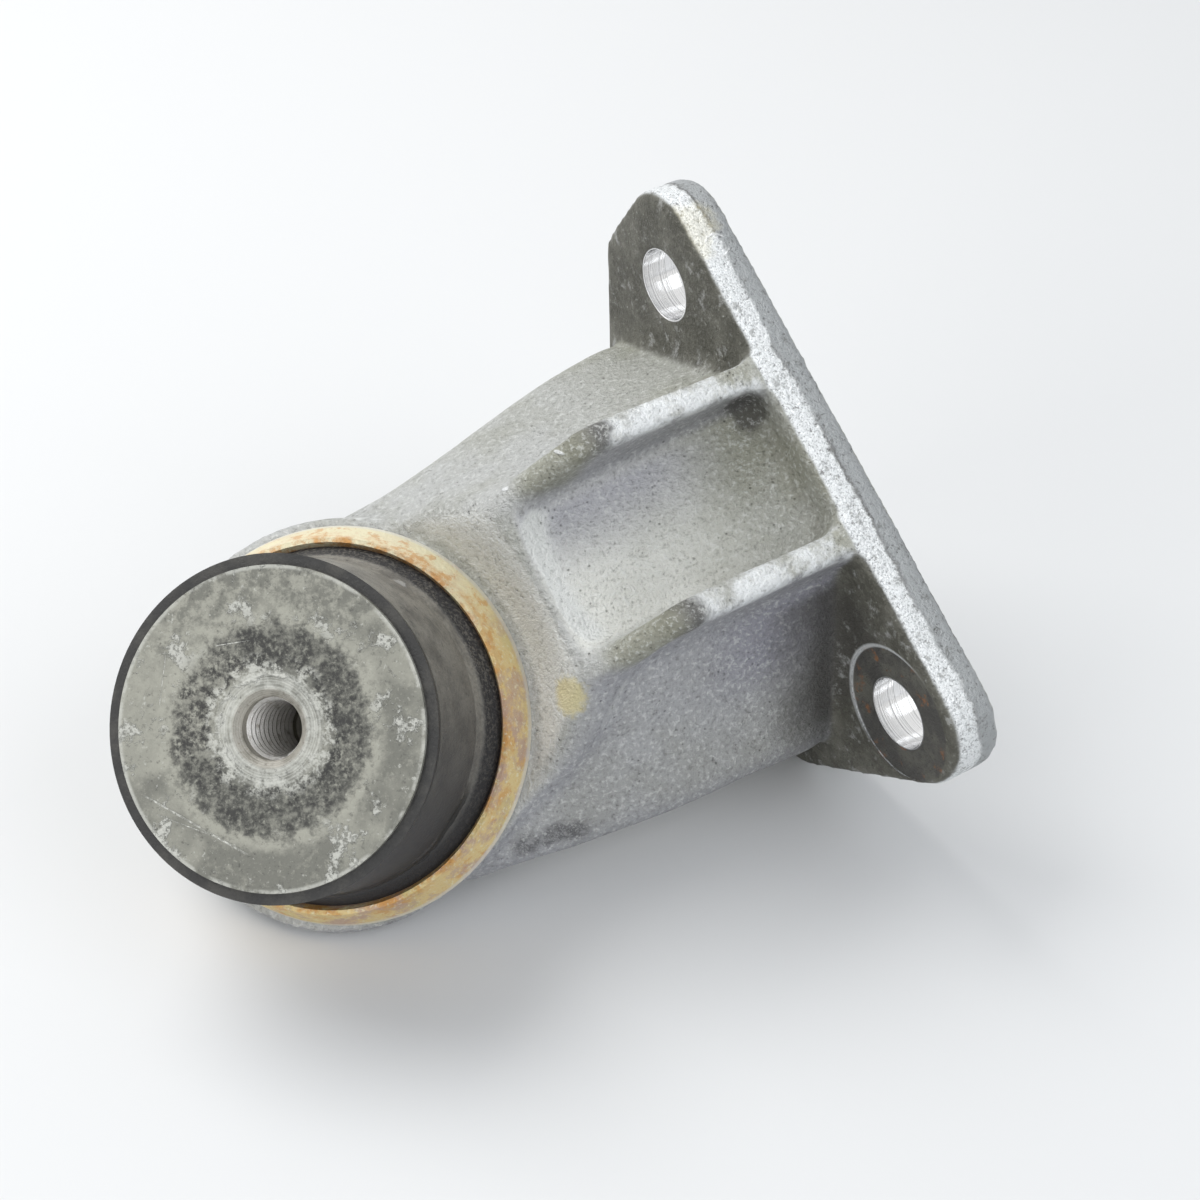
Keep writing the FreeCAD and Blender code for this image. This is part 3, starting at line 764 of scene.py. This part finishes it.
def discCoat():
    coat = Shader("discCoat", {
        "coat": (0.160, 0.160, 0.136), "beige": (0.36, 0.355, 0.30), "pale": (0.56, 0.56, 0.51),
        "dark": (0.024, 0.024, 0.022), "rust": (0.24, 0.17, 0.11), "scratch": (0.72, 0.72, 0.66),
        # out from the axis, and along the bolt row
        "mouth": (0.0066, 0.0060), "turned": (0.0095, 0.0087),
        "crustInside": (0.0080, 0.0090), "crustOutside": (0.0122, 0.0104),
        "ringInside": (0.0090, 0.0108), "ringOutside": (0.0184, 0.0150),
        "bandInside": (0.0163, 0.0176), "bandOutside": (0.0205, 0.0184),
        "outer": (0.0150, 0.0200), "edge": (0.0252, 0.0257), "weathered": (0.012, -0.020),
        # one long scratch and three fainter ones: two ends on the disc, and the width
        "scratches": (((-0.0010, -0.0242, 0), (0.0162, -0.0123, 0), 0.00024),
                      ((0.0030, -0.0235, 0), (0.0120, -0.0150, 0), 0.00013),
                      ((-0.0160, -0.0020, 0), (-0.0138, 0.0040, 0), 0.00014),
                      ((-0.0190, -0.0100, 0), (-0.0120, -0.0150, 0), 0.00012)),
    })
    blotches = coat.noise(0.0065, 6.0, 0.70)
    large = coat.noise(0.016, 3.0, 0.6, seed=5.0)
    fine = coat.noise(0.0008, 4.0, 0.7)
    mid = coat.noise(0.0022, 5.0, 0.72, seed=2.0)
    flecks = coat.noise(0.0012, 5.0, 0.75, seed=15.0)
    radius = coat.fromAxis(discCentre, out)
    wobbly = radius + (blotches - 0.5) * 0.007 + (mid - 0.5) * 0.003
    ring = coat.within(wobbly, "ringInside", "ringOutside")
    band = coat.within(wobbly, "bandInside", "bandOutside")
    crust = coat.within(wobbly, "crustInside", "crustOutside")
    outer = coat.within(radius, "outer")
    side = coat.along(across, discCentre) + (large - 0.5) * 0.03
    weathered = coat.within(side, "weathered") * outer
    patches = blotches.between(0.565, 0.615) * outer * fine.between(0.30, 0.50)
    turned = coat.within(radius + (mid - 0.5) * 0.0012, "turned")
    turning = coat.toolMarks(radius, 3200.0, 3.0).between(0.40, 0.62)
    scratches = [coat.scratch(atBuffer(*start), atBuffer(*end), width)
                 for start, end, width in coat.look["scratches"]]
    marks = reduce(Value.most, scratches) * fine.between(0.36, 0.58) * mid.between(0.30, 0.50)
    colour = coat.layered(
        "coat",
        ("beige", large.between(0.46, 0.62) * 0.60),
        ("beige", mid.between(0.52, 0.68) * 0.45),
        ("dark", ring * (mid.between(0.64, 0.42) * 0.75 + 0.25) * fine.between(0.68, 0.44)),
        ("beige", band * (mid.between(0.36, 0.56) * 0.7 + 0.15)),
        ("pale", crust * mid.between(0.44, 0.56) * fine.between(0.36, 0.56) * 0.8),
        ("beige", weathered * (mid.between(0.42, 0.60) * 0.70)),
        ("pale", flecks.between(0.60, 0.68) * outer * 0.6),
        ("pale", patches * 0.9),
        ("pale", turned * (mid.between(0.36, 0.58) * 0.45 + turning * 0.35 + 0.1)),
        ("dark", fine.between(0.44, 0.28) * 0.55),
        ("beige", fine.between(0.58, 0.70) * 0.5),
        ("rust", coat.within(radius, "mouth") * mid * 0.5),
        ("pale", coat.within(radius, "edge") * blotches.between(0.40, 0.52) * 0.6),
        ("scratch", marks * 0.7))
    rough = mid * 0.2 + 0.42 + patches * 0.2 - marks * 0.1
    height = (fine * 0.3 + mid * 0.4 + patches * 0.5 - ring * mid * 0.5 - marks * 0.4
              + crust * mid * 0.8)
    return coat.finish(colour, rough, 0.2, height, 0.00045)


def cutSteel():
    steel = Shader("cutSteel", {"steel": (0.78, 0.77, 0.75), "grime": (0.26, 0.22, 0.17)})
    grime = steel.noise(0.0016, 4.0, 0.65)
    fine = steel.noise(0.0003, 3.0, 0.6, stretch=(1, 1, 4))
    colour = steel.layered("steel", ("grime", grime.between(0.52, 0.72) * 0.6))
    return steel.finish(colour, grime * 0.25 + 0.24, 0.9, fine, 0.00008)


aluminium = CastSkin().finished()
dress(nodes["bracket"], aluminium)
dress(casting, aluminium)
dress(nodes["outer_sleeve"], yellowZinc())
dress(nodes["rubber_buffer"], mouldedRubber())
dress(nodes["threaded_insert"], discCoat())
dress(tapThread, cutSteel())
print("materials ready")


def makeStage():
    floorSize = 6.0
    paint = Shader("paleFloor", {"floor": (0.80, 0.80, 0.79)})
    paint.surface.inputs["Specular IOR Level"].default_value = 0.2
    bpy.ops.object.select_all(action="DESELECT")
    bpy.ops.mesh.primitive_plane_add(size=floorSize, location=(0, 0, 0))
    floor = bpy.context.object
    floor.name = "floor"
    floor.data.materials.append(paint.finish("floor", 0.6, 0.0))


def makeLight(name, place, aim, size, power, colour=(1, 1, 1)):
    bpy.ops.object.select_all(action="DESELECT")
    bpy.ops.object.light_add(type="AREA", location=place)
    lamp = bpy.context.object
    lamp.name = name
    lamp.data.shape = "RECTANGLE"
    lamp.data.size, lamp.data.size_y = size
    lamp.data.energy = power
    lamp.data.color = colour
    lamp.rotation_euler = (Vector(aim) - Vector(place)).to_track_quat("-Z", "Y").to_euler()


def makeWorld():
    # white where it is seen, in mirrors too, and a dimmer blue-white for what it lights
    light = {"colour": (0.9, 0.94, 1.0), "strength": 0.45}
    world = bpy.data.worlds.new("studio")
    world.use_nodes = True
    world.node_tree.nodes.clear()
    bpy.context.scene.world = world
    sky = Graph(world.node_tree)
    rays = sky.add("ShaderNodeLightPath", {}, {})
    shown = rays["Is Camera Ray"].most(rays["Is Glossy Ray"]).most(rays["Is Transmission Ray"])
    room = sky.add("ShaderNodeBackground", {}, {
        "Color": light["colour"], "Strength": light["strength"]})[0]
    white = sky.add("ShaderNodeBackground", {}, {"Color": (1, 1, 1), "Strength": 1.0})[0]
    mixed = sky.add("ShaderNodeMixShader", {}, {0: shown, 1: room, 2: white})[0]
    sky.add("ShaderNodeOutputWorld", {}, {"Surface": mixed})


def makeCamera():
    # places and directions in the buffer's frame
    view = {"place": (0.05723, 0.12252, 0.32516), "aim": (0.00795, 0.05687, 0.0),
            "right": (0.4587, 0.8550, -0.2421), "lens": 66.0, "sensor": 36.0}
    lens = bpy.data.cameras.new("camera")
    lens.lens = view["lens"]
    lens.sensor_width = view["sensor"]
    camera = bpy.data.objects.new("camera", lens)
    bpy.context.scene.collection.objects.link(camera)
    forward = (Vector(view["aim"]) - Vector(view["place"])).normalized()
    down = forward.cross(Vector(view["right"])).normalized()
    turn = Matrix((down.cross(forward), -down, -forward)).transposed()
    camera.matrix_world = buffer @ Matrix.Translation(view["place"]) @ turn.to_4x4()
    bpy.context.scene.camera = camera


makeStage()
makeLight("keyLight", (-0.5, 0.35, 0.9), (0, 0, 0.04), (0.9, 0.7), 8.4)
makeLight("frontLight", (-0.75, -0.75, 0.45), (0, 0, 0.05), (0.7, 0.6), 3.2)
makeLight("fillLight", (0.7, -0.6, 0.7), (0, 0, 0.04), (0.8, 0.8), 4.0, (0.92, 0.95, 1.0))
makeWorld()
makeCamera()
bpy.context.scene.view_settings.view_transform = "Standard"
print("stage ready")
